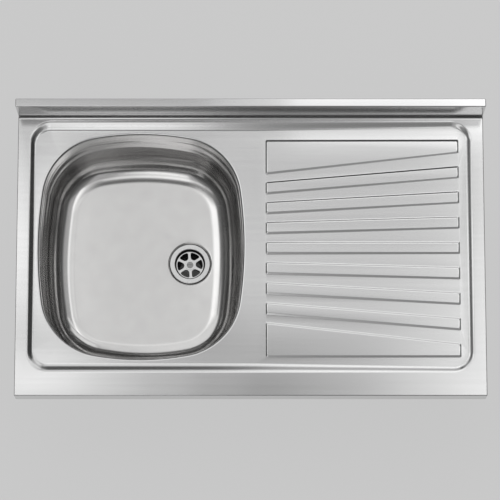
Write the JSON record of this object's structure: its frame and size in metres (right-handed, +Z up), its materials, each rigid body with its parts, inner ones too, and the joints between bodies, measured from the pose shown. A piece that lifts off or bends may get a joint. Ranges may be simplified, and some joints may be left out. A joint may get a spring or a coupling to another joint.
{
  "type": "single bowl kitchen sink",
  "caption": "Lay-on stainless kitchen sink: deep-drawn bowl on the left with a spoked strainer waste, fan-ribbed drainer on the right, upstand at the rear, sliding fixing brackets below.",
  "frame": {"origin": "centre of the plane on which the folded edges rest on the cabinet", "axes": "+X to the right along the width, +Y to the wall behind the upstand, +Z up"},
  "size_m": [0.8, 0.5, 0.293],
  "materials": {
    "stainless": "satin brushed stainless sheet",
    "stainless_bowl": "polished satin, deep-drawn stainless",
    "waste_steel": "bright pressed stainless",
    "galvanised": "galvanised, dull grey",
    "bracket_steel": "zinc plated",
    "rubber": "matt black rubber",
    "pad": "matt bitumen felt",
    "dark_plastic": "moulded, satin",
    "brass": "turned"
  },
  "bodies": {
    "sink": {"deck": "stainless", "bowl": "stainless_bowl", "waste_flange": "waste_steel", "waste_screw": "waste_steel", "waste_top_gasket": "rubber", "waste_lower_gasket": "rubber", "waste_body": "dark_plastic", "waste_nut": "brass", "bowl_floor_pad": "pad", "bowl_front_pad": "pad", "bowl_rear_pad": "pad", "drainer_pad": "pad", "front_channel": "galvanised", "drainer_brace_near": "galvanised", "drainer_brace_far": "galvanised", "earth_tag": "waste_steel"},
    "bracket_left_front_body": {"bracket_left_front": "bracket_steel"},
    "bracket_left_rear_body": {"bracket_left_rear": "bracket_steel"},
    "bracket_right_front_body": {"bracket_right_front": "bracket_steel"},
    "bracket_right_rear_body": {"bracket_right_rear": "bracket_steel"}
  },
  "joints": [
    {"name": "bracket_left_front_slide", "type": "slide", "parent": "sink", "child": "bracket_left_front_body", "axis": [0, 1, 0], "range_m": [-0.06, 0.06]},
    {"name": "bracket_left_rear_slide", "type": "slide", "parent": "sink", "child": "bracket_left_rear_body", "axis": [0, 1, 0], "range_m": [-0.06, 0.06]},
    {"name": "bracket_right_front_slide", "type": "slide", "parent": "sink", "child": "bracket_right_front_body", "axis": [0, 1, 0], "range_m": [-0.06, 0.06]},
    {"name": "bracket_right_rear_slide", "type": "slide", "parent": "sink", "child": "bracket_right_rear_body", "axis": [0, 1, 0], "range_m": [-0.06, 0.06]}
  ]
}
